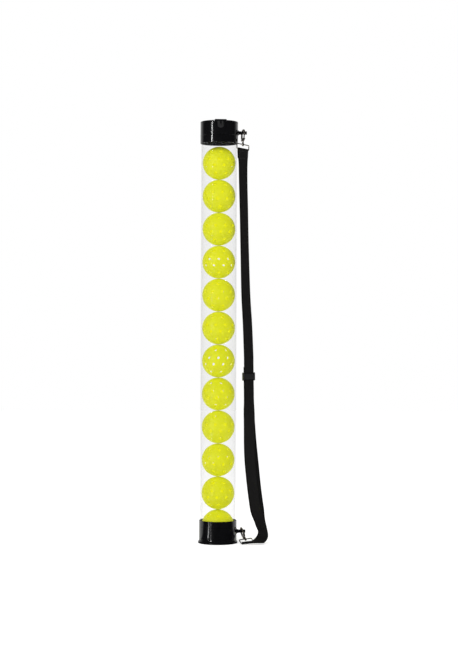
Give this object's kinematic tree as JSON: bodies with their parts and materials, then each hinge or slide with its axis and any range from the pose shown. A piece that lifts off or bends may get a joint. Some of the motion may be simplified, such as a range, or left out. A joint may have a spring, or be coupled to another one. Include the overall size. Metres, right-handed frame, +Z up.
{
  "type": "pickleball pickup tube",
  "caption": "Clear ball pickup tube with black end caps, one-way fingers, hinged lid, stored yellow balls and a clip-on webbing shoulder strap.",
  "frame": {"origin": "bottom centre of the whole object's box, on the floor it stands on", "axes": "+Z up along the tube, +X towards the strap, -Y towards the front tongue"},
  "size_m": [0.1568, 0.0942, 0.9457],
  "materials": {
    "clear_plastic": "clear gloss",
    "black_plastic": "gloss",
    "finger_plastic": "matte",
    "ball_plastic": "satin",
    "steel": "satin",
    "webbing": "woven"
  },
  "bodies": {
    "frame": {"tube": "clear_plastic", "bottom_cap": "black_plastic", "retainer_ring": "black_plastic", "top_cap": "black_plastic", "lid_hinge_pin": "steel"},
    "ball_column": {"ball_01": "ball_plastic", "ball_02": "ball_plastic", "ball_03": "ball_plastic", "ball_04": "ball_plastic", "ball_05": "ball_plastic", "ball_06": "ball_plastic", "ball_07": "ball_plastic", "ball_08": "ball_plastic", "ball_09": "ball_plastic", "ball_10": "ball_plastic", "ball_11": "ball_plastic", "ball_12": "ball_plastic"},
    "lid_body": {"lid": "black_plastic"},
    "strap_body": {"shoulder_strap": "webbing", "top_strap_loop": "steel", "bottom_strap_loop": "steel"},
    "slider_body": {"strap_slider": "black_plastic"},
    "top_hook": {"top_snap_hook": "steel", "top_gate_pin": "steel"},
    "top_gate": {"top_hook_gate": "steel"},
    "bottom_hook": {"bottom_snap_hook": "steel", "bottom_gate_pin": "steel"},
    "bottom_gate": {"bottom_hook_gate": "steel"},
    "finger_1": {"retainer_finger_1": "finger_plastic"},
    "finger_2": {"retainer_finger_2": "finger_plastic"},
    "finger_3": {"retainer_finger_3": "finger_plastic"},
    "finger_4": {"retainer_finger_4": "finger_plastic"},
    "finger_5": {"retainer_finger_5": "finger_plastic"},
    "finger_6": {"retainer_finger_6": "finger_plastic"},
    "finger_7": {"retainer_finger_7": "finger_plastic"},
    "finger_8": {"retainer_finger_8": "finger_plastic"}
  },
  "joints": [
    {"name": "ball_column_slide", "type": "slide", "parent": "frame", "child": "ball_column", "axis": [0, 0, 1], "range_m": [0, 0.045]},
    {"name": "lid_hinge", "type": "hinge", "parent": "frame", "child": "lid_body", "pos_m": [-0.03789, 0.04317, 0.94], "axis": [-0.9968, -0.0802, 0], "range_deg": [0, 110]},
    {"name": "strap_swing", "type": "hinge", "parent": "frame", "child": "strap_body", "pos_m": [0.01927, -0.00228, 0.473], "axis": [0, 0, 1], "range_deg": [0, 15]},
    {"name": "top_hook_swivel", "type": "hinge", "parent": "strap_body", "child": "top_hook", "pos_m": [0.01927, -0.00228, 0.92], "axis": [0.013, 0.3021, 0.9532], "range_deg": [-16, 2]},
    {"name": "bottom_hook_swivel", "type": "hinge", "parent": "strap_body", "child": "bottom_hook", "pos_m": [0.01927, -0.00228, 0.026], "axis": [-0.2968, 0.7905, 0.5357], "range_deg": [-12, 2]},
    {"name": "top_gate_hinge", "type": "hinge", "parent": "top_hook", "child": "top_gate", "pos_m": [0.02085, -0.01238, 0.90534], "axis": [-0.9446, -0.3091, 0.1108], "range_deg": [0, 26], "stiffness_Nm_per_rad": 0.02, "springref_deg": -22.92},
    {"name": "bottom_gate_hinge", "type": "hinge", "parent": "bottom_hook", "child": "bottom_gate", "pos_m": [0.02431, -0.01881, 0.02145], "axis": [-0.9549, -0.2457, -0.1665], "range_deg": [0, 26], "stiffness_Nm_per_rad": 0.02, "springref_deg": -22.92},
    {"name": "slider_slide", "type": "slide", "parent": "strap_body", "child": "slider_body", "axis": [-0.0167, 0.0033, 0.9999], "range_m": [-0.02, 0.02]},
    {"name": "finger_1_hinge", "type": "hinge", "parent": "frame", "child": "finger_1", "pos_m": [-0.04879, 0.03285, 0.01755], "axis": [-0.9239, -0.3827, 0], "range_deg": [0, 50], "stiffness_Nm_per_rad": 0.02, "springref_deg": -11.46},
    {"name": "finger_2_hinge", "type": "hinge", "parent": "frame", "child": "finger_2", "pos_m": [-0.06937, 0.01227, 0.01755], "axis": [-0.3827, -0.9239, 0], "range_deg": [0, 50], "stiffness_Nm_per_rad": 0.02, "springref_deg": -11.46},
    {"name": "finger_3_hinge", "type": "hinge", "parent": "frame", "child": "finger_3", "pos_m": [-0.06937, -0.01683, 0.01755], "axis": [0.3827, -0.9239, 0], "range_deg": [0, 50], "stiffness_Nm_per_rad": 0.02, "springref_deg": -11.46},
    {"name": "finger_4_hinge", "type": "hinge", "parent": "frame", "child": "finger_4", "pos_m": [-0.04879, -0.03741, 0.01755], "axis": [0.9239, -0.3827, 0], "range_deg": [0, 50], "stiffness_Nm_per_rad": 0.02, "springref_deg": -11.46},
    {"name": "finger_5_hinge", "type": "hinge", "parent": "frame", "child": "finger_5", "pos_m": [-0.01968, -0.03741, 0.01755], "axis": [0.9239, 0.3827, 0], "range_deg": [0, 50], "stiffness_Nm_per_rad": 0.02, "springref_deg": -11.46},
    {"name": "finger_6_hinge", "type": "hinge", "parent": "frame", "child": "finger_6", "pos_m": [0.0009, -0.01683, 0.01755], "axis": [0.3827, 0.9239, 0], "range_deg": [0, 50], "stiffness_Nm_per_rad": 0.02, "springref_deg": -11.46},
    {"name": "finger_7_hinge", "type": "hinge", "parent": "frame", "child": "finger_7", "pos_m": [0.0009, 0.01227, 0.01755], "axis": [-0.3827, 0.9239, 0], "range_deg": [0, 50], "stiffness_Nm_per_rad": 0.02, "springref_deg": -11.46},
    {"name": "finger_8_hinge", "type": "hinge", "parent": "frame", "child": "finger_8", "pos_m": [-0.01968, 0.03285, 0.01755], "axis": [-0.9239, 0.3827, 0], "range_deg": [0, 50], "stiffness_Nm_per_rad": 0.02, "springref_deg": -11.46}
  ],
  "couplings": [
    {"joint": "top_hook_swivel", "follows": "strap_swing", "ratio": -1},
    {"joint": "bottom_hook_swivel", "follows": "strap_swing", "ratio": -0.7},
    {"joint": "finger_2_hinge", "follows": "finger_1_hinge", "ratio": 1},
    {"joint": "finger_3_hinge", "follows": "finger_1_hinge", "ratio": 1},
    {"joint": "finger_4_hinge", "follows": "finger_1_hinge", "ratio": 1},
    {"joint": "finger_5_hinge", "follows": "finger_1_hinge", "ratio": 1},
    {"joint": "finger_6_hinge", "follows": "finger_1_hinge", "ratio": 1},
    {"joint": "finger_7_hinge", "follows": "finger_1_hinge", "ratio": 1},
    {"joint": "finger_8_hinge", "follows": "finger_1_hinge", "ratio": 1}
  ]
}
